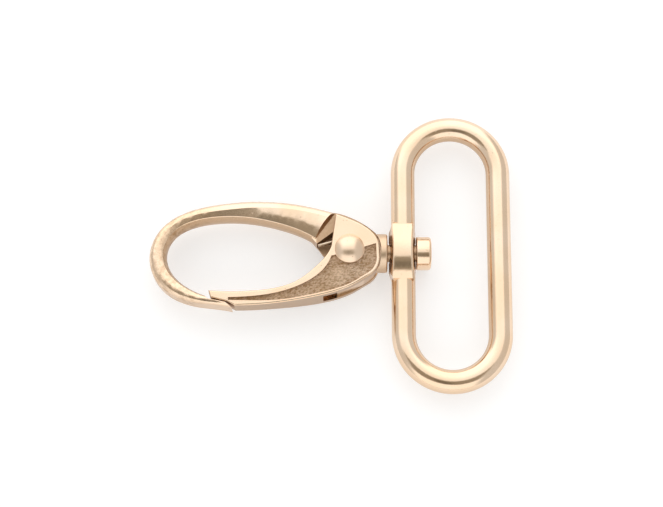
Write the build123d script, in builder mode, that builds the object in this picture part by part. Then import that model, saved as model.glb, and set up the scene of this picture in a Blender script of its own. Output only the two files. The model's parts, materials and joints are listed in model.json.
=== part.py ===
from build123d import *

import os
from math import asin, cos, degrees, radians, sin, sqrt, tan

# Swivel snap hook with an oval strap ring, die-cast in zinc and gold plated.
# Millimetres. The swivel axis runs along X, the hook lies to -X and the strap ring to +X,
# and the castings' parting plane is level, at the height of the swivel axis.

# Strap ring: round wire bent to an oval, its opening sized to the strap
strap_width = 38.0
strap_room = 1.5  # opening length left over beside the strap
opening_width = 12.0
ring_wire = 4.0

# Swivel boss in the middle of the ring's near leg
boss_length = 9.4
boss_height = 7.0  # over both crowned faces
boss_crown_radius = 7.9
boss_bearing = 6.8  # length of the flat that meets the collar
boss_hook_rise = 0.4  # bearing face that meets the collar, proud of the leg
boss_head_rise = 0.05  # bearing face that meets the pin's head, proud of the leg
boss_neck = 1.6  # half width where the boss runs out into the leg
boss_draft = 9.0  # degrees
boss_edge = 0.5
boss_shelf = 1.3  # half height where the boss runs out into the leg
boss_run_out = 0.4  # length of each end's slope

# Swivel pin
pin_diameter = 2.9
pin_head_diameter = 5.6
pin_head_length = 2.5
pin_head_edge = 0.5
pin_seat_depth = 3.2  # length held in the collar
pin_clearance = 0.06  # radial, in the boss
bore_chamfer = 0.3
collar_gap = 0.28  # collar to boss
head_gap = 0.07  # boss to pin head

# Hook body
collar_reach = 6.3  # rivet axis to the collar's end
collar_diameter = 6.5
collar_edge = 0.3
tang_thickness = 3.4
hook_run = 31.75  # rivet axis to the limb's centre line at its far end
hook_half_height = 8.03  # half the height of the limb's centre line
hook_drop = 1.16  # middle of the hook below the swivel axis
limb_root_width = 6.2
limb_end_width = 2.8
nose_width = 2.1
nose_edge = 0.15
shoulder_slope = 30.0  # degrees from upright
limb_height = 2.15  # half thickness of the limb at its crown, far from the root
limb_crown = 0.45  # how much higher the crown is at the root
limb_fall = 0.24  # fall of the faces towards the eye, as a share of the width they fall over
limb_relief = 0.5  # how far the eye side bulges past the faces' edge
limb_round = 1.3  # rounding of the faces into the outer side
limb_round_share = 0.8  # most that the rounding takes, as a share of half the limb's width
limb_edge = 0.2

# Rivet, spring and their pocket
rivet_diameter = 3.2
rivet_head_diameter = 4.85
rivet_head_height = 1.3
rivet_tail_diameter = 4.4
rivet_tail_height = 0.6
rivet_rim = 0.15  # straight edge of each head
rivet_clearance = 0.05  # radial, in the gate's cheeks
rivet_end_gap = 0.03  # each head to its cheek
spring_wire = 0.65
spring_pitch = 0.7
spring_radius = 2.4  # of the wire's centre line
spring_lift = 0.78  # wire's centre line above the pocket's floor, where the coil starts
spring_room = 0.25
fixed_leg = 4.7
fixed_leg_angle = 105.7  # degrees round the rivet where the leg leaves the coil
moving_leg_angle = -65.0
leg_grip = 1.1  # length of the moving leg inside the gate
pocket_floor = 0.8  # thickness of the plate behind the pocket

# Gate
gate_thickness = 6.5  # over the cheeks
tongue_thickness = 4.0
tongue_rise = 0.3  # how much thicker each side of the tongue is halfway along it
fork_gap = 0.06  # cheek to tang
fork_reach = 8.9  # rivet axis to the root of the fork
cheek_radius = 5.1  # clears every part of the cheek that swings past the collar
corner_radius = 3.5  # cheek's lower corner, beside the collar
corner_offset = 1.5  # corner's centre from the rivet's axis, along X and down
cheek_gap = 0.15  # cheek to collar
cheek_flat = 0.7  # how far the cheeks' flat faces reach past the rivet's axis, towards the tongue
gate_edge = 0.25
panel_depth = 0.3
panel_run = 0.63  # where the panel's tail ends, as a share of the hook's run
rim_outer = 0.5
shelf_gap = 0.15
mouth_gap = 0.6
nose_gap = 0.3
tip_slant = 0.3

# Places along X, with the middle of the whole length at X = 0
boss_hook_side = ring_wire / 2 + boss_hook_rise
boss_head_side = ring_wire / 2 + boss_head_rise
leg_to_rivet = collar_reach + collar_gap + boss_hook_side
ring_pitch = opening_width + ring_wire
hook_end = hook_run + limb_end_width / 2
total_length = hook_end + leg_to_rivet + ring_pitch + ring_wire / 2
pivot_x = hook_end - total_length / 2
collar_x = pivot_x + collar_reach
leg_x = pivot_x + leg_to_rivet
far_leg_x = leg_x + ring_pitch
ring_x = leg_x + ring_pitch / 2

# Heights, with the lowest point at Z = 0
axis_z = gate_thickness / 2 + rivet_end_gap + rivet_tail_height
level = Plane.XY.offset(axis_z)
upright = Plane.XZ.shift_origin((0, 0, axis_z))
across = Plane.YZ.shift_origin((0, 0, axis_z))
beside = upright.offset(-hook_run)  # clear of the hook, on its shoulder's side
swivel_axis = Axis((0, 0, axis_z), (1, 0, 0))
clear_height = gate_thickness  # half height of cutters that pass right through


def eye(run, rise):
    """Point on the level plane, as shares of the hook's run and of its half height."""
    return (pivot_x - run * hook_run, rise * hook_half_height - hook_drop)


def from_rivet(x, y):
    """Point on the level plane, measured from the rivet's axis."""
    return (pivot_x + x, y)


def round_rivet(radius, angle):
    """Point on the level plane, round the rivet's axis."""
    return (pivot_x + radius * cos(radians(angle)), radius * sin(radians(angle)))


def dome(radius, rise, base):
    """Half the profile of a round dome, from its edge to its top, above a base height."""
    sphere = (radius**2 + rise**2) / (2 * rise)
    lean = degrees(asin(radius / sphere))
    return CenterArc((0, base + rise - sphere), sphere, 90 - lean, lean, mode=Mode.PRIVATE)


# ---------------------------------------------------------------- strap ring
boss_half = boss_length / 2
boss_end = boss_half + boss_run_out
boss_top = boss_height / 2
boss_crown_end = boss_top - boss_crown_radius + sqrt(boss_crown_radius**2 - boss_half**2)
boss_slope = boss_top * tan(radians(boss_draft))

with BuildPart() as ring_boss:
    # Drafted section, square to the ring's near leg
    with BuildSketch(upright):
        with BuildLine():
            Polyline(
                (leg_x - boss_hook_side, 0),
                (leg_x - boss_hook_side + boss_slope, boss_top),
                (leg_x + boss_head_side - boss_slope, boss_top),
                (leg_x + boss_head_side, 0),
                close=True,
            )
        make_face()
        mirror(about=Plane.XZ)
    extrude(amount=boss_end, both=True)
    # Crowned faces that run out into the leg
    with BuildSketch(across.offset(leg_x)):
        with BuildLine():
            Polyline(
                (-boss_half, boss_crown_end),
                (-boss_end, boss_shelf),
                (-boss_end, 0),
                (boss_end, 0),
                (boss_end, boss_shelf),
                (boss_half, boss_crown_end),
            )
            ThreePointArc((-boss_half, boss_crown_end), (0, boss_top), (boss_half, boss_crown_end))
        make_face()
        mirror(about=Plane.XZ)
    extrude(amount=boss_height, both=True, mode=Mode.INTERSECT)
    # Bearing flats that taper to the leg's width
    with BuildSketch(level):
        with BuildLine():
            Polyline(
                (leg_x - boss_hook_side, 0),
                (leg_x - boss_hook_side, boss_bearing / 2),
                (leg_x - boss_neck, boss_end),
                (leg_x + boss_neck, boss_end),
                (leg_x + boss_head_side, boss_bearing / 2),
                (leg_x + boss_head_side, 0),
                close=True,
            )
        make_face()
        mirror(about=Plane.XZ)
    extrude(amount=boss_height, both=True, mode=Mode.INTERSECT)
    crown_edges = ring_boss.edges().filter_by(
        lambda e: abs(e.center().Z - axis_z) > boss_top * 0.75 and e.length > boss_bearing / 2
    )
    fillet(crown_edges, boss_edge)

straight = (strap_width + strap_room + ring_wire - ring_pitch) / 2
bore_radius = pin_diameter / 2 + pin_clearance

with BuildPart() as strap_ring:
    with BuildLine(level) as ring_path:
        Line((leg_x, straight), (leg_x, -straight))
        ThreePointArc((leg_x, -straight), (ring_x, -straight - ring_pitch / 2), (far_leg_x, -straight))
        Line((far_leg_x, -straight), (far_leg_x, straight))
        ThreePointArc((far_leg_x, straight), (ring_x, straight + ring_pitch / 2), (leg_x, straight))
    with BuildSketch(Plane(origin=ring_path.line @ 0, z_dir=ring_path.line % 0)):
        Circle(ring_wire / 2)
    sweep(path=ring_path.line)
    add(ring_boss.part)
    # Bore with chamfered mouths
    with BuildSketch(upright):
        with BuildLine():
            Polyline(
                (leg_x - boss_hook_side, 0),
                (leg_x - boss_hook_side, bore_radius + bore_chamfer),
                (leg_x - boss_hook_side + bore_chamfer, bore_radius),
                (leg_x + boss_head_side - bore_chamfer, bore_radius),
                (leg_x + boss_head_side, bore_radius + bore_chamfer),
                (leg_x + boss_head_side, 0),
                close=True,
            )
        make_face()
    revolve(axis=swivel_axis, mode=Mode.SUBTRACT)
strap_ring.part.label = "strap_ring"

# ---------------------------------------------------------------- swivel pin
head_x = leg_x + boss_head_side + head_gap

with BuildPart() as swivel_pin:
    with BuildSketch(upright) as profile:
        with BuildLine():
            Polyline(
                (collar_x - pin_seat_depth, 0),
                (collar_x - pin_seat_depth, pin_diameter / 2),
                (head_x, pin_diameter / 2),
                (head_x, pin_head_diameter / 2),
                (head_x + pin_head_length, pin_head_diameter / 2),
                (head_x + pin_head_length, 0),
                close=True,
            )
        make_face()
        fillet(profile.vertices().group_by(Axis.Y)[-1].sort_by(Axis.X)[-1], pin_head_edge)
        fillet(profile.vertices().group_by(Axis.Y)[-1].sort_by(Axis.X)[0], pin_head_edge / 2)
    revolve(axis=swivel_axis)
swivel_pin.part.label = "swivel_pin"

# ---------------------------------------------------------------- hook limb
with BuildPart() as limb:
    with BuildLine(level) as limb_path:
        course = Spline(
            from_rivet(-3.37, 3.66),
            eye(0.242, 0.813),
            eye(0.374, 0.935),
            eye(0.537, 1.0),
            eye(0.683, 0.969),
            eye(0.829, 0.843),
            eye(0.945, 0.562),
            eye(1.0, 0.02),
            eye(0.955, -0.455),
            eye(0.846, -0.767),
            eye(0.73, -0.897),
            eye(0.608, -0.94),
        )
    limb_widths = [
        (0.0, limb_root_width),
        (0.094, limb_root_width * 0.8),
        (0.182, limb_root_width * 0.68),
        (0.288, limb_root_width * 0.55),
        (0.476, limb_end_width * 0.89),
        (0.57, limb_end_width * 0.88),
        (0.665, limb_end_width),
        (0.84, limb_end_width * 0.83),
        (1.0, nose_width),
    ]
    for place, width in limb_widths:
        ahead = course % place
        half = width / 2
        crown = half / 4
        inner = limb_relief - half
        crown_height = limb_height + limb_crown * width / limb_root_width
        outer_height = crown_height - limb_fall * (half - crown) / 2
        inner_height = crown_height - limb_fall * (crown - inner)
        crosswise = Plane(origin=course @ place, x_dir=ahead.cross(Vector(0, 0, 1)), z_dir=ahead)
        with BuildSketch(crosswise) as section:
            with BuildLine():
                ThreePointArc((half, outer_height), (crown, crown_height), (inner, inner_height))
                ThreePointArc((inner, inner_height), (-half, 0), (inner, -inner_height))
                ThreePointArc((inner, -inner_height), (crown, -crown_height), (half, -outer_height))
                Line((half, -outer_height), (half, outer_height))
            make_face()
            fillet(section.vertices().sort_by(Axis.X)[:2], limb_edge)
            fillet(section.vertices().sort_by(Axis.X)[-2:], min(limb_round, limb_round_share * half))
    sweep(path=course, multisection=True)

# ---------------------------------------------------------------- hook body
tang_half = tang_thickness / 2
collar_depth = collar_reach - cheek_radius * 0.7
corner_centre = from_rivet(corner_offset, -corner_offset)

# Plane across the limb's end, square to the line of the shoulder
shoulder_top = Vector(*from_rivet(-2.2, 6.7), axis_z)
shoulder_foot = Vector(*from_rivet(-5.68, 1.93), axis_z)
along_shoulder = (shoulder_top - shoulder_foot).normalized()
shoulder = Plane(origin=shoulder_top, x_dir=along_shoulder.cross(Vector(0, 0, 1)), z_dir=along_shoulder)

# Joint line between the nose and the gate's tip
step_top = eye(0.761, -0.74)
step_foot = eye(0.7395, -0.875)
shelf_end = eye(0.646, -0.951)
nose_tip = eye(0.605, -1.08)

# Spring's run, in the pocket in front of the tang's back plate
coil_turns = 1 + (fixed_leg_angle - moving_leg_angle) / 360
coil_z = axis_z - tang_half + pocket_floor + spring_lift
pocket_radius = spring_radius + spring_wire / 2 + spring_room

with BuildPart() as hook_body:
    add(limb.part)
    # Shoulder: the limb ends on a slant, and slopes down to the tang
    with BuildSketch(shoulder):
        with BuildLine():
            Polyline(
                (0, 0),
                (0, tang_half),
                (-(clear_height - tang_half) * tan(radians(shoulder_slope)), clear_height),
                (clear_height, clear_height),
                (clear_height, 0),
                close=True,
            )
        make_face()
        mirror(about=Plane.XZ)
    extrude(amount=hook_half_height, both=True, mode=Mode.SUBTRACT)
    # Step, shelf and slanted end of the nose
    with BuildSketch(level):
        with BuildLine():
            Polyline(
                step_top,
                step_foot,
                shelf_end,
                nose_tip,
                (nose_tip[0] + nose_width, nose_tip[1]),
                (nose_tip[0] + nose_width, step_top[1] + nose_width),
                (step_top[0] - nose_width / 4, step_top[1] + nose_width),
                close=True,
            )
        make_face()
    extrude(amount=clear_height, both=True, mode=Mode.SUBTRACT)
    nose_edges = hook_body.edges().filter_by(
        lambda e: abs(e.center().Z - axis_z) > limb_height * 0.9
        and step_top[0] - nose_width / 4 < e.center().X < shelf_end[0]
    )
    fillet(nose_edges, nose_edge)
    # Tang
    with BuildSketch(level):
        with BuildLine():
            Spline(
                from_rivet(-3.6, 6.5),
                from_rivet(-2.25, 6.5),
                from_rivet(-0.1, 5.85),
                from_rivet(1.6, 5.05),
                from_rivet(3.2, 4.0),
                from_rivet(4.4, 3.0),
            )
            Line(from_rivet(4.4, 3.0), from_rivet(4.5, -3.0))
            Spline(
                from_rivet(4.5, -3.0),
                from_rivet(3.1, -4.5),
                from_rivet(1.0, -5.65),
                from_rivet(-2.0, -6.8),
            )
            Polyline(
                from_rivet(-2.0, -6.8),
                from_rivet(-4.1, -0.5),
                from_rivet(-5.1, 0.9),
                from_rivet(-6.3, 2.3),
                from_rivet(-3.6, 6.5),
            )
        make_face()
    extrude(amount=tang_half, both=True)
    # Collar, relieved for the gate's cheeks
    with BuildSketch(across.offset(collar_x)):
        Circle(collar_diameter / 2)
    extrude(amount=-collar_depth)
    fillet(hook_body.edges().filter_by(GeomType.CIRCLE).sort_by(Axis.X)[-1], collar_edge)
    for height in (tang_half, -tang_half - clear_height):
        with BuildSketch(level.offset(height)):
            with Locations((pivot_x, 0)):
                Circle(cheek_radius + cheek_gap)
            with Locations(corner_centre):
                Circle(corner_radius + cheek_gap)
        extrude(amount=clear_height, mode=Mode.SUBTRACT)
    # Pocket for the spring, open to the eye, and the holes for the rivet and the pin
    with BuildSketch(level.offset(pocket_floor - tang_half)):
        with Locations((pivot_x, 0)):
            Circle(pocket_radius)
        with BuildLine():
            Polyline(
                from_rivet(-5.28, 1.34),
                from_rivet(-2.6, 3.35),
                from_rivet(0, pocket_radius),
                round_rivet(pocket_radius, moving_leg_angle),
                from_rivet(-3.6, -5.0),
                from_rivet(-7.0, -5.0),
                from_rivet(-7.0, 0),
                close=True,
            )
        make_face()
    extrude(amount=clear_height, mode=Mode.SUBTRACT)
    with BuildSketch(level):
        with Locations((pivot_x, 0)):
            Circle(rivet_diameter / 2)
    extrude(amount=clear_height, both=True, mode=Mode.SUBTRACT)
    with BuildSketch(across.offset(collar_x)):
        Circle(pin_diameter / 2)
    extrude(amount=-pin_seat_depth, mode=Mode.SUBTRACT)
hook_body.part.label = "hook_body"

# ---------------------------------------------------------------- gate rivet
front_seat = gate_thickness / 2 + rivet_end_gap

with BuildPart() as gate_rivet:
    with BuildSketch(Plane.XZ.shift_origin((pivot_x, 0, axis_z))):
        with BuildLine():
            head_dome = dome(rivet_head_diameter / 2, rivet_head_height - rivet_rim, front_seat + rivet_rim)
            tail_dome = dome(rivet_tail_diameter / 2, rivet_tail_height - rivet_rim, front_seat + rivet_rim)
            add(head_dome)
            add(mirror(tail_dome, about=Plane.XZ, mode=Mode.PRIVATE))
            Polyline(
                head_dome @ 0,
                (rivet_head_diameter / 2, front_seat),
                (rivet_diameter / 2, front_seat),
                (rivet_diameter / 2, -front_seat),
                (rivet_tail_diameter / 2, -front_seat),
                (rivet_tail_diameter / 2, -front_seat - rivet_rim),
            )
            Line((0, -front_seat - rivet_tail_height), head_dome @ 1)
        make_face()
    revolve(axis=Axis((pivot_x, 0, 0), (0, 0, 1)))
gate_rivet.part.label = "gate_rivet"

# ---------------------------------------------------------------- gate spring
leg_to_fork = sqrt(fork_reach**2 - spring_radius**2)
coil = (
    Helix(spring_pitch, coil_turns * spring_pitch, spring_radius, mode=Mode.PRIVATE)
    .rotate(Axis.Z, moving_leg_angle)
    .moved(Location((pivot_x, 0, coil_z)))
)
leg_root = coil @ 0 - (coil % 0) * leg_to_fork  # where the moving leg enters the gate

with BuildPart() as gate_spring:
    with BuildLine() as spring_path:
        Line(leg_root - (coil % 0) * leg_grip, coil @ 0)
        add(coil)
        Line(coil @ 1, coil @ 1 + (coil % 1) * fixed_leg)
    with BuildSketch(Plane(origin=spring_path.line @ 0, z_dir=spring_path.line % 0)):
        Circle(spring_wire / 2)
    sweep(path=spring_path.line)
gate_spring.part.label = "gate_spring"

# ---------------------------------------------------------------- gate
tip_top = Vector(*step_top) + Vector(mouth_gap + tip_slant, tip_slant)
tip_foot = Vector(*step_foot) + Vector(mouth_gap, shelf_gap)
heel = Vector(*shelf_end) + Vector(nose_gap / 2, shelf_gap)
heel_end = Vector(*nose_tip) + Vector(nose_gap, 3 * shelf_gap)
underside = [eye(0.37, -0.972), eye(0.159, -0.845), from_rivet(1.0, -5.9)]


def side_outline(depth):
    """Upper half of the gate's side view, lowered by a depth: the tongue thickens into the cheeks."""
    tip_x = tip_top.X - mouth_gap
    cheek_x = pivot_x - cheek_flat
    tongue_z = tongue_thickness / 2 - depth
    cheek_z = gate_thickness / 2 - depth
    Spline(
        (tip_x, tongue_z),
        (eye(0.37, 0)[0], tongue_z + tongue_rise),
        (cheek_x, cheek_z),
        tangents=[(1, 0.01), (1, 0)],
    )
    Polyline(
        (cheek_x, cheek_z),
        (pivot_x + clear_height, cheek_z),
        (pivot_x + clear_height, 0),
        (tip_x, 0),
        (tip_x, tongue_z),
    )


# Recessed panel below the rivet on both faces, inside a raised rim
with BuildPart() as panel:
    with BuildSketch(level):
        with BuildLine():
            rim_corner = CenterArc(corner_centre, corner_radius - rim_outer, -60, 60)
            low_tail = eye(panel_run, -0.912)
            high_tail = eye(panel_run, -0.85)
            Spline(
                low_tail,
                *[(x, y + rim_outer) for x, y in underside],
                rim_corner @ 0,
                tangents=[(1, 0), rim_corner % 0],
            )
            Polyline(
                rim_corner @ 1,
                from_rivet(4.4, 0.93),
                from_rivet(0, -0.45),
                from_rivet(-3.0, -1.2),
            )
            Spline(
                from_rivet(-3.0, -1.2),
                eye(0.118, -0.195),
                eye(0.18, -0.438),
                eye(0.254, -0.6),
                eye(0.362, -0.74),
                eye(0.469, -0.812),
                high_tail,
            )
            Line(high_tail, low_tail)
        make_face()
        with Locations((pivot_x, 0)):
            Circle(rivet_head_diameter / 2 + rivet_clearance, mode=Mode.SUBTRACT)
    extrude(amount=clear_height, both=True)
    with BuildSketch(beside):
        with BuildLine():
            side_outline(panel_depth)
        make_face()
        mirror(about=Plane.XZ)
    extrude(amount=2 * hook_run, mode=Mode.SUBTRACT)

with BuildPart() as gate:
    with BuildSketch(level):
        with BuildLine():
            corner = CenterArc(corner_centre, corner_radius, -60, 60)
            # Underside, from the heel to the cheek's corner
            Spline(
                (heel_end.X, heel_end.Y),
                *underside,
                corner @ 0,
                tangents=[(1, 0), corner % 0],
            )
            # Cheek, on the shoulder's side
            Spline(
                corner @ 1,
                from_rivet(4.55, 1.9),
                from_rivet(2.4, 3.95),
                from_rivet(-0.9, 5.5),
                from_rivet(-2.25, 6.0),
                tangents=[corner % 1, (-1, 0.35)],
            )
            Line(from_rivet(-2.25, 6.0), from_rivet(-3.0, 0.6))
            # Eye side of the cheek and the tongue
            Spline(
                from_rivet(-3.0, 0.6),
                eye(0.165, -0.18),
                eye(0.265, -0.49),
                eye(0.40, -0.66),
                eye(0.56, -0.715),
                (tip_top.X, tip_top.Y),
                tangents=[(-0.3, -1), (-1, 0.05)],
            )
            Polyline(
                (tip_top.X, tip_top.Y),
                (tip_foot.X, tip_foot.Y),
                (heel.X, heel.Y),
                (heel_end.X, heel_end.Y),
            )
        make_face()
    extrude(amount=clear_height, both=True)
    with BuildSketch(beside):
        with BuildLine():
            side_outline(0)
        make_face()
        mirror(about=Plane.XZ)
    extrude(amount=2 * hook_run, mode=Mode.INTERSECT)
    outline_edges = gate.edges().filter_by(
        lambda e: abs(e.center().Z - axis_z) > tongue_thickness * 0.48 and e.geom_type != GeomType.LINE
    )
    fillet(outline_edges, gate_edge)
    add(panel.part, mode=Mode.SUBTRACT)
    # Fork for the tang, and the rivet's hole
    with BuildSketch(level):
        with Locations((pivot_x, 0)):
            Circle(fork_reach)
    extrude(amount=tang_half + fork_gap, both=True, mode=Mode.SUBTRACT)
    with BuildSketch(level):
        with Locations((pivot_x, 0)):
            Circle(rivet_diameter / 2 + rivet_clearance)
    extrude(amount=clear_height, both=True, mode=Mode.SUBTRACT)
    # Hole that holds the spring's moving leg
    with BuildSketch(Plane(origin=leg_root + (coil % 0) * leg_grip, z_dir=(coil % 0) * -1)):
        Circle(spring_wire / 2 + spring_room / 2)
    extrude(amount=2.5 * leg_grip, mode=Mode.SUBTRACT)
gate.part.label = "gate"

os.makedirs("parts", exist_ok=True)
for piece in (strap_ring, swivel_pin, hook_body, gate_rivet, gate_spring, gate):
    export_step(piece.part, "parts/" + piece.part.label + ".step")
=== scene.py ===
import bpy
import json
from math import cos, pi, radians, sin
from mathutils import Matrix, Vector


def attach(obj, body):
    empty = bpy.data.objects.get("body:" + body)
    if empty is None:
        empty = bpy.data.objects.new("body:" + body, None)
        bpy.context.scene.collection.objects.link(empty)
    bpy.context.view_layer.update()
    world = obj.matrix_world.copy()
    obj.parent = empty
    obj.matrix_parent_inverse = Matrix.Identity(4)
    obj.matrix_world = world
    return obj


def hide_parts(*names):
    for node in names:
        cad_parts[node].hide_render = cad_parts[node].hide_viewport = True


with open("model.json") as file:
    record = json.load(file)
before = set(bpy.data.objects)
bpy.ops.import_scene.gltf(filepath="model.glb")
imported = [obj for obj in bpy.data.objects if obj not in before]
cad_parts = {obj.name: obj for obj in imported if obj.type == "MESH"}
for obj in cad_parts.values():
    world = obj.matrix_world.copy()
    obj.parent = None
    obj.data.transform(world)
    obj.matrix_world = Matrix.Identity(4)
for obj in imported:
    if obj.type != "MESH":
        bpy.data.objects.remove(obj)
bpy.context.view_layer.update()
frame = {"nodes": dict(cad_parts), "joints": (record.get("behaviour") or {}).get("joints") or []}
nodes = frame["nodes"]
joints = {joint["name"]: joint for joint in frame["joints"]}

# ---------------------------------------------------------------- strap ring
# The ring that carries the strap: a zinc casting, round in section, with the swivel boss in the
# middle of its near leg. The mould's halves meet at half its thickness, and after tumbling and
# polishing the whole ring is plated light rose gold, so that only a trace of that joint is left.


class Wire:
    """A value, colour or vector on its way through a node tree. Arithmetic adds Math nodes."""

    def __init__(self, tree, socket=None):
        self.tree = tree
        self.socket = socket

    def node(self, kind, settings=None, sockets=None, output=None):
        """Adds a node: its settings first, then the values or links of its sockets."""
        made = self.tree.nodes.new(kind)
        for name, value in (settings or {}).items():
            setattr(made, name, value)
        for name, value in (sockets or {}).items():
            if isinstance(name, str):
                socket = [s for s in made.inputs if s.enabled and s.name == name][0]
            else:
                socket = made.inputs[name]
            if isinstance(value, Wire):
                self.tree.links.new(value.socket, socket)
            else:
                socket.default_value = value
        outputs = [s for s in made.outputs if s.enabled and output in (None, s.name)]
        return Wire(self.tree, outputs[0] if outputs else None)

    def maths(self, operation, *values):
        return self.node("ShaderNodeMath", {"operation": operation}, dict(enumerate(values)))

    def __add__(self, other):
        return self.maths("ADD", self, other)

    def __radd__(self, other):
        return self.maths("ADD", other, self)

    def __sub__(self, other):
        return self.maths("SUBTRACT", self, other)

    def __rsub__(self, other):
        return self.maths("SUBTRACT", other, self)

    def __mul__(self, other):
        return self.maths("MULTIPLY", self, other)

    def __rmul__(self, other):
        return self.maths("MULTIPLY", other, self)

    def __truediv__(self, other):
        return self.maths("DIVIDE", self, other)

    def __rtruediv__(self, other):
        return self.maths("DIVIDE", other, self)

    def __abs__(self):
        return self.maths("ABSOLUTE", self)

    def between(self, low, high, start=0.0, end=1.0):
        """Goes smoothly from start to end as the value goes from low to high."""
        settings = {"interpolation_type": "SMOOTHSTEP"}
        span = {"Value": self, "From Min": low, "From Max": high, "To Min": start, "To Max": end}
        return self.node("ShaderNodeMapRange", settings, span)


def fresh_material(name):
    """A material with an empty tree, and the wire that its nodes are added through."""
    material = bpy.data.materials.new(name)
    material.use_nodes = True
    material.node_tree.nodes.clear()
    return material, Wire(material.node_tree)


def split(vector):
    """A vector's X, Y and Z."""
    apart = vector.node("ShaderNodeSeparateXYZ", None, {"Vector": vector})
    return [Wire(vector.tree, socket) for socket in apart.socket.node.outputs]


def places(wire):
    """Object coordinates in millimetres, whole and as X, Y and Z, and the surface's direction."""
    place = wire.node("ShaderNodeTexCoord", output="Object")
    grown = {"Vector": place, "Scale": 1000.0}
    place = wire.node("ShaderNodeVectorMath", {"operation": "SCALE"}, grown)
    facing = wire.node("ShaderNodeTexCoord", output="Normal")
    return place, split(place), split(facing)


def noise(place, scale, detail, roughness, seed):
    """Noise about 0.5, whose scale is in features for each millimetre."""
    settings = {"noise_dimensions": "4D"}
    grain = {"Scale": scale, "Detail": detail, "Roughness": roughness}
    return place.node("ShaderNodeTexNoise", settings, {"Vector": place, "W": seed, **grain})


def cells(place, scale):
    """Distance to the nearest of points strewn at random, so many to each millimetre."""
    strewn = {"Vector": place, "Scale": scale}
    return place.node("ShaderNodeTexVoronoi", None, strewn, "Distance")


def blended(share, first, second):
    """Goes from the first colour to the second as the share goes from 0 to 1."""
    sockets = {"Factor": share, "A": first, "B": second}
    return share.node("ShaderNodeMix", {"data_type": "RGBA"}, sockets)


rose_gold = (0.88, 0.65, 0.45, 1.0)
rose_gold_pale = (0.91, 0.71, 0.53, 1.0)
# The dark tone of real pits and grain, and also the tone that painted shade is blended towards
tarnish_and_shade = (0.40, 0.24, 0.12, 1.0)
polish = 0.12  # roughness where the wheel has been


def plated_finish(wire, place, seed):
    """Colour, roughness and height in millimetres of polished plating over a casting."""
    swell = noise(place, 0.16, 2.0, 0.4, seed)
    peel = noise(place, 1.5, 3.0, 0.55, seed + 1)
    grain = noise(place, 4.5, 2.0, 0.6, seed + 2)
    pits = cells(place, 0.8).between(0.04, 0.09, 1.0, 0.0)
    tone = blended(swell.between(0.3, 0.7), rose_gold, rose_gold_pale)
    tone = blended(pits * 0.5 + grain.between(0.55, 0.75) * 0.12, tone, tarnish_and_shade)
    rough = polish + swell * 0.04 + peel.between(0.5, 0.8) * 0.06 + pits * 0.2
    height = swell * 0.02 + peel * 0.007 + grain * 0.001 - pits * 0.012
    return tone, rough, height


def metal_surface(wire, tone, rough, height):
    """Metal from a colour, a roughness and a height in millimetres."""
    relief = {"Strength": 1.0, "Distance": 0.001, "Height": height}
    lift = wire.node("ShaderNodeBump", None, relief)
    sockets = {"Base Color": tone, "Metallic": 1.0, "Roughness": rough, "Normal": lift}
    surface = wire.node("ShaderNodeBsdfPrincipled", None, sockets)
    wire.node("ShaderNodeOutputMaterial", None, {"Surface": surface})


def dress(node, material):
    """Gives a part its material."""
    part = nodes[node]
    for place in part.material_slots:
        place.material = material


def flanks(facing):
    """1 on upright sides and 0 on level ones: the mask that gives the sides painted shade."""
    return abs(facing[2]).between(0.1, 0.85, 1.0, 0.0)


def inner_side(x, y, facing, middle_x, middle_y):
    """1 on walls round a point in the level plane, where a wheel can't reach; their darker tone
    is painted shade.
    """
    towards = facing[0] * (x - middle_x) + facing[1] * (y - middle_y)
    return (towards * -1).between(0.5, 4.0) * abs(facing[2]).between(0.35, 0.7, 1.0, 0.0)


half_thickness = joints["gate_hinge"]["pos_m"][2] * 1000
leg = joints["ring_swivel"]["pos_m"][0] * 1000
ring_middle = leg + 8.0
leg_radius = 2.0
boss_reach = 3.4  # from the pin to the boss's end

ring_plating, wire = fresh_material("ring_plating")
place, (x, y, z), facing = places(wire)
tone, rough, height = plated_finish(wire, place, 1.0)
seam = abs(z - half_thickness).between(0.03, 0.12, 1.0, 0.0)
# The boss's bearing faces: rubbed rougher, with painted shade where they sit in the gaps
from_leg = abs(x - leg)
bearing_wear_and_shade = from_leg.between(leg_radius - 0.05, leg_radius + 0.3)
bearing_wear_and_shade = bearing_wear_and_shade * from_leg.between(leg_radius + 1, leg_radius + 2, 1.0, 0.0)
bearing_wear_and_shade = bearing_wear_and_shade * abs(y).between(boss_reach, boss_reach + 1, 1.0, 0.0)
inner = inner_side(x, y, facing, ring_middle, 0)
# Painted shade on the bearing faces, the inner walls and the upright sides
tone = blended(bearing_wear_and_shade * 0.75 + inner * 0.35 + flanks(facing) * 0.25, tone, tarnish_and_shade)
rough = rough + seam * 0.08 + bearing_wear_and_shade * 0.2 + inner * 0.1
metal_surface(wire, tone, rough, height + seam * 0.006)
dress("strap_ring", ring_plating)

# ---------------------------------------------------------------- swivel pin
# The pin that the ring turns on: turned steel with a round head, pressed into the hook's collar
# and plated with it. The turning's fine rings show under the plating, and inside the boss the
# shank is rougher and darkened with painted shade.
pin_plating, wire = fresh_material("pin_plating")
place, (x, y, z), facing = places(wire)
tone, rough, height = plated_finish(wire, place, 2.0)
along_pin = wire.node("ShaderNodeCombineXYZ", None, {"X": x})
turning = noise(along_pin, 14.0, 1.0, 0.5, 5.0)
shank = x.between(leg + leg_radius, leg + leg_radius + 0.3, 1.0, 0.0)
# Painted shade on the shank inside the boss
tone = blended(shank * 0.7, tone, tarnish_and_shade)
metal_surface(wire, tone, rough + turning * 0.05 + shank * 0.2, height + turning * 0.002)
dress("swivel_pin", pin_plating)

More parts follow.
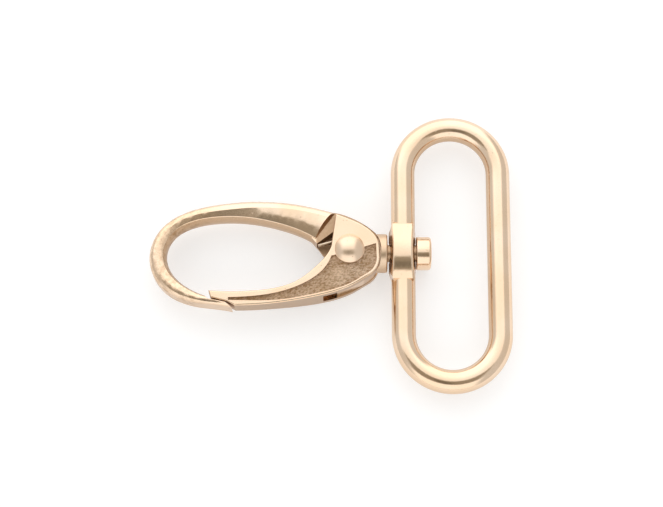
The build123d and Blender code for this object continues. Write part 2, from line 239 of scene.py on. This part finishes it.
# ---------------------------------------------------------------- hook body
# The hook: one zinc casting of limb, nose, tang and collar, plated like the ring. Its faces are
# crowned and polished. The tang and the pocket for the spring, which the wheel doesn't reach,
# keep the casting's grain, and are darkened with painted shade, sunk between the gate's cheeks.
pivot = joints["gate_hinge"]["pos_m"][0] * 1000
shoulder = pivot - 5.7  # where the limb ends and the tang begins
tang_end = pivot + 4.6
tang_half = 1.7
collar_start = pivot + 2.2
eye_middle = (pivot - 15.5, -1.2)

hook_plating, wire = fresh_material("hook_plating")
place, (x, y, z), facing = places(wire)
tone, rough, height = plated_finish(wire, place, 3.0)
cast = noise(place, 4.5, 3.0, 0.6, 7.0)
level = abs(facing[2])
# The tang: cast grain in its roughness and height, and painted shade in its tone
tang = abs(z - half_thickness).between(tang_half + 0.02, tang_half + 0.08, 1.0, 0.0)
tang = tang * x.between(shoulder, shoulder + 0.4)
tang = tang * x.between(tang_end, tang_end + 0.2, 1.0, 0.0)
pocket = inner_side(x, y, facing, pivot, 0)
tang = tang * (level.between(0.35, 0.7) + pocket)
collar = x.between(collar_start, collar_start + 0.4)
wall = level.between(0.2, 0.5, 1.0, 0.0)
wall = wall * x.between(collar_start, collar_start + 0.4, 1.0, 0.0)
inner = inner_side(x, y, facing, *eye_middle)
# The slope from the limb down to the tang, rougher and darkened with painted shade
slope = level.between(0.3, 0.4) * facing[0].between(0.2, 0.35)
slope = slope * x.between(shoulder + 0.1, shoulder + 0.7)
slope = slope * x.between(pivot - 1.4, pivot - 0.9, 1.0, 0.0)
# The bend, where what hangs in the hook rubs the plating
bend = x.between(pivot - 28, pivot - 22, 1.0, 0.0)
rubbed = noise(place, 1.3, 3.0, 0.6, 8.0).between(0.42, 0.66, 0.0, 0.32)
rubbed = bend * (0.05 + rubbed)
# Painted shade on the tang, the slope, the upright sides and the eye's inner walls; the bend's
# patches are wear
dull_and_shade = tang * (0.45 + cast * 0.45) + slope * (0.2 + cast * 0.4) + flanks(facing) * 0.25
tone = blended(dull_and_shade + inner * 0.4 + collar * 0.3 + rubbed, tone, tarnish_and_shade)
rough = rough + 0.05 + tang * (0.2 + cast * 0.2) + slope * 0.12 + collar * 0.15
rough = rough + wall * 0.1 + rubbed * 0.3
metal_surface(wire, tone, rough, height + cast * (0.002 + tang * 0.02))
dress("hook_body", hook_plating)

# ---------------------------------------------------------------- gate rivet
# The rivet that the gate turns on: plated steel, with a round head in front and a low peened
# tail behind. The peening leaves it a little softer in its shine than the castings.
rivet_plating, wire = fresh_material("rivet_plating")
place, (x, y, z), facing = places(wire)
tone, rough, height = plated_finish(wire, place, 4.0)
dents = noise(place, 2.2, 2.0, 0.5, 9.0)
metal_surface(wire, tone, rough + 0.14, height + dents * 0.006)
dress("gate_rivet", rivet_plating)

# ---------------------------------------------------------------- gate
# The gate: a zinc casting, forked round the tang. Its rim and the face about the rivet are
# polished, and the panel sunk in each cheek keeps a pebbled cast surface under the plating.
tip_face = 2.03  # from the middle of the thickness to the face at the tip
face_rise = 1.22  # from the tip to the rivet
face_start = pivot - 17.1
face_end = pivot - 0.7

gate_plating, wire = fresh_material("gate_plating")
place, (x, y, z), facing = places(wire)
tone, rough, height = plated_finish(wire, place, 5.0)
level = abs(facing[2])
depth = tip_face + x.between(face_start, face_end, 0.0, face_rise) - abs(z - half_thickness)
panel = depth.between(0.1, 0.2) * depth.between(0.42, 0.52, 1.0, 0.0)
panel = panel * level.between(0.75, 0.9)
# Marks of the mould run along the panel
along_panel = {"Rotation": (0.0, 0.0, radians(18)), "Scale": (1.8, 1.0, 1.0)}
along_panel = {"Vector": place, **along_panel}
along_panel = wire.node("ShaderNodeMapping", {"vector_type": "TEXTURE"}, along_panel)
mottle = noise(along_panel, 4.0, 4.0, 0.7, 12.0).between(0.40, 0.64)
pebbles = noise(place, 2.6, 4.0, 0.7, 11.0)
cloud = noise(place, 0.5, 2.0, 0.5, 13.0).between(0.35, 0.65)
# Painted shade: the sunk panel darkens towards the tip, where it lies in shadow
tail = x.between(pivot - 17, pivot - 8, 0.25, 0.0)
wall = level.between(0.2, 0.5, 1.0, 0.0)
# Painted shade on the upright walls, and a little over the whole gate to dim its faces; the
# mottle is cast surface
dull_and_shade = 0.06 + panel * (0.04 + tail + cloud * 0.3 + mottle * 0.68) + wall * 0.72
tone = blended(dull_and_shade, tone, tarnish_and_shade)
rough = rough + panel * (0.14 + pebbles * 0.15) + wall * 0.15
metal_surface(wire, tone, rough, height + panel * pebbles * 0.45)
dress("gate", gate_plating)

# ---------------------------------------------------------------- gate spring
# The spring that shuts the gate: drawn steel wire wound round the rivet in the tang's pocket. One
# leg bears on the shoulder. The other is held in the gate, and turns with it inside the first
# turn.
spring_wire = 0.000325  # radius
coil_radius = 0.0024
coil_start = radians(-65)
coil_turn = radians(530.7)
coil_base = 0.00376
coil_climb = 0.0007 / (2 * pi)  # rise for each radian, at 0.7 mm a turn
shoulder_leg = 0.0047
gate_reach = 0.0089  # from the rivet's axis to where the gate holds the other leg
gate_grip = 0.0011
rivet_axis = Vector((joints["gate_hinge"]["pos_m"][0], 0, 0))

spring_steel, wire = fresh_material("spring_steel")
place, (x, y, z), facing = places(wire)
drawn = noise(place, 5.0, 3.0, 0.6, 6.0)
rub = noise(place, 1.2, 2.0, 0.5, 7.0).between(0.35, 0.7)
tone = blended(rub, (0.72, 0.58, 0.44, 1.0), (0.60, 0.46, 0.34, 1.0))
metal_surface(wire, tone, 0.2 + drawn * 0.15, drawn * 0.004)


def wound_wire(name, radius, turn, leg_at, leg):
    """Wire wound about the rivet's axis, with a straight leg from its end at one angle."""
    bpy.ops.object.select_all(action="DESELECT")
    rim = Vector((coil_radius * cos(coil_start), coil_radius * sin(coil_start), coil_base))
    upright = (pi / 2, 0, coil_start)
    bpy.ops.mesh.primitive_circle_add(
        vertices=20, radius=radius, location=rivet_axis + rim, rotation=upright
    )
    piece = bpy.context.active_object
    piece.name = name
    piece.data.name = name
    bpy.context.scene.cursor.location = rivet_axis
    bpy.ops.object.origin_set(type="ORIGIN_CURSOR")
    bpy.ops.object.transform_apply(location=False, rotation=True, scale=True)
    screw = piece.modifiers.new("turns", "SCREW")
    screw.angle = turn
    screw.screw_offset = coil_climb * turn
    screw.steps = screw.render_steps = round(turn / radians(5))
    bpy.ops.object.modifier_apply(modifier=screw.name)
    bpy.ops.object.transform_apply(location=True, rotation=False, scale=False)
    # The leg is drawn out of the wire's open end, in line with the turns
    angle = coil_start + leg_at
    end = Vector((coil_radius * cos(angle), coil_radius * sin(angle), 0))
    end.z = coil_base + coil_climb * leg_at
    along = Vector((-sin(angle), cos(angle), 0))
    for vertex in piece.data.vertices:
        reach = vertex.co - rivet_axis - end
        vertex.select = abs(reach.dot(along)) < 1e-6 and reach.length < 2 * radius
    bpy.ops.object.mode_set(mode="EDIT")
    bpy.ops.mesh.select_mode(type="VERT")
    run = Vector((along.x, along.y, coil_climb / coil_radius)) * leg
    bpy.ops.mesh.extrude_region_move(TRANSFORM_OT_translate={"value": run})
    bpy.ops.mesh.select_all(action="SELECT")
    bpy.ops.mesh.fill_holes(sides=0)
    bpy.ops.mesh.normals_make_consistent(inside=False)
    bpy.ops.object.mode_set(mode="OBJECT")
    bpy.ops.object.shade_smooth_by_angle(angle=radians(50))
    piece.data.materials.append(spring_steel)
    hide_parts("gate_spring")
    return piece


spring_coil = wound_wire("spring_coil", spring_wire, coil_turn, coil_turn, shoulder_leg)
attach(spring_coil, "hook")
# A little thinner, so that its part of a turn lies inside the coil and covers the joint as the
# gate turns
gate_leg = (gate_reach**2 - coil_radius**2) ** 0.5 + gate_grip
spring_leg = wound_wire("spring_leg", spring_wire * 0.97, radians(75), 0.0, -gate_leg)
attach(spring_leg, "gate")

# ---------------------------------------------------------------- studio
# A plain pale table under a white tent. The tent is open round the lens, which leaves a dim
# strip between the large sheet overhead and the one in front. Only reflections show it: the
# camera sees plain white.
middle = Vector((0.00012, 0.0, 0.00388))
view_tilt = radians(15)
view_roll = radians(0.1)
view_reach = 0.31

bpy.ops.object.select_all(action="DESELECT")
bpy.ops.mesh.primitive_plane_add(size=6.0, location=(0, 0, -0.00002))
table = bpy.context.active_object
table.name = "table"
table_top, wire = fresh_material("table_top")
sheen = wire.node("ShaderNodeBsdfDiffuse", None, {"Color": (0.6, 0.6, 0.6, 1.0)})
rays = ("Is Camera Ray", "Is Glossy Ray", "Is Transmission Ray")
seen = sum(wire.node("ShaderNodeLightPath", output=name) for name in rays)
glow = wire.node("ShaderNodeEmission", None, {"Strength": seen * 0.5})
both = wire.node("ShaderNodeAddShader", None, {0: sheen, 1: glow})
wire.node("ShaderNodeOutputMaterial", None, {"Surface": both})
table.data.materials.append(table_top)

tent = bpy.data.worlds.new("tent")
tent.use_nodes = True
tent.node_tree.nodes.clear()
bpy.context.scene.world = tent
wire = Wire(tent.node_tree)
way = wire.node("ShaderNodeTexCoord", output="Generated")


def along(direction):
    """How far a direction in the world points along another."""
    sockets = {0: way, 1: direction}
    return wire.node("ShaderNodeVectorMath", {"operation": "DOT_PRODUCT"}, sockets, "Value")


side = along((1, 0, 0))
rise = along((0, cos(view_tilt), sin(view_tilt)))
ahead = along((0, -sin(view_tilt), cos(view_tilt)))
# Degrees above the lens, or below it where negative
angle = wire.maths("ARCTAN2", rise, ahead) * (180 / pi)
width = side.between(-0.86, -0.62) * side.between(0.42, 0.62, 1.0, 0.0)
sheet = angle.between(8, 12) * angle.between(98, 108, 1.0, 0.0)
sheet = sheet * angle.between(10, 60, 0.38, 0.9)
front = angle.between(-78, -68) * angle.between(-25, -21, 1.0, 0.0) * 0.55
sides = side.between(-0.7, -0.5) * side.between(0.36, 0.52, 1.0, 0.0)
opening = angle.between(-25, -21) * angle.between(8, 12, 1.0, 0.0) * sides
lens_x = (side + 0.06) / 0.13
lens_y = (angle + 9.0) / 11.0
lens = (lens_x * lens_x + lens_y * lens_y).between(0.7, 1.2, 1.0, 0.0)
light = 0.7 + (sheet + front) * width - opening * 0.36 - lens * 0.15
camera_ray = wire.node("ShaderNodeLightPath", output="Is Camera Ray")
light = camera_ray + (1 - camera_ray) * light
# The room beyond the opening is warmer than the tent
room = (opening + lens) * (1 - camera_ray)
shade = blended(room, (1.0, 1.0, 1.0, 1.0), (1.0, 0.92, 0.76, 1.0))
sky = wire.node("ShaderNodeBackground", None, {"Color": shade, "Strength": light})
wire.node("ShaderNodeOutputWorld", None, {"Surface": sky})

bpy.ops.object.camera_add()
camera = bpy.context.active_object
camera.name = "camera"
camera.data.lens = 101.0
camera.data.sensor_width = 36.0
camera.data.clip_start = 0.01
turn = Matrix.Rotation(view_tilt, 4, "X") @ Matrix.Rotation(view_roll, 4, "Z")
camera.matrix_world = Matrix.Translation(middle) @ turn @ Matrix.Translation((0, 0, view_reach))
bpy.context.scene.camera = camera
bpy.context.scene.view_settings.view_transform = "Standard"
